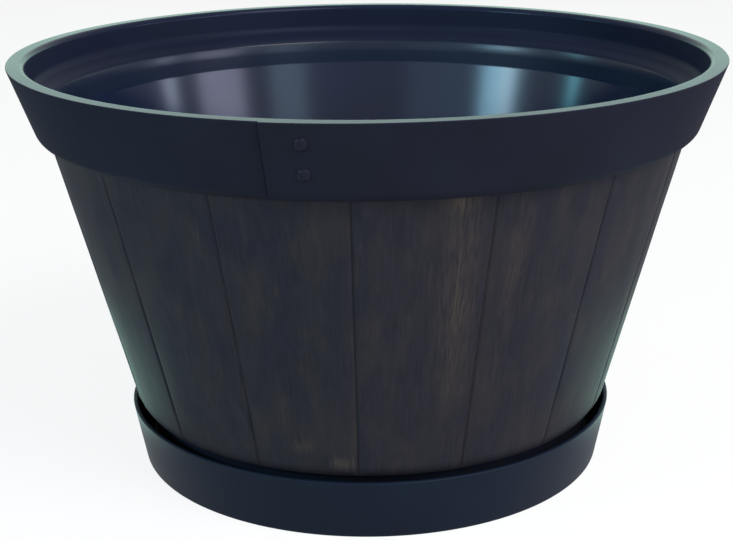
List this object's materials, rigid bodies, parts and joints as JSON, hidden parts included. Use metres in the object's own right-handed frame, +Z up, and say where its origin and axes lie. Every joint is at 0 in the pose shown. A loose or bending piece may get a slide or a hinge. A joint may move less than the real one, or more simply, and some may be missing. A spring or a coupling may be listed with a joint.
{
  "type": "barrel planter",
  "caption": "Round tapered resin planter moulded as a cut-down barrel, with a staved wall under a riveted hoop rim, drain holes and a lift-off saucer, for potted plants.",
  "frame": {"origin": "middle of the saucer's standing ring, on the floor", "axes": "+Z up through the middle of the rim; the lapped end of the hoop and its rivet heads face -Y"},
  "size_m": [0.394, 0.3945, 0.232],
  "materials": {
    "tub_resin": "moulded charcoal resin, wood grain brushed into the staves, smooth hoop and inside",
    "saucer_resin": "moulded satin charcoal resin, plain"
  },
  "bodies": {
    "saucer": {"saucer": "saucer_resin"},
    "tub": {"tub": "tub_resin"}
  },
  "joints": [
    {"name": "tub_lift", "type": "slide", "parent": "saucer", "child": "tub", "axis": [0, 0, 1], "range_m": [0, 0.1]}
  ]
}
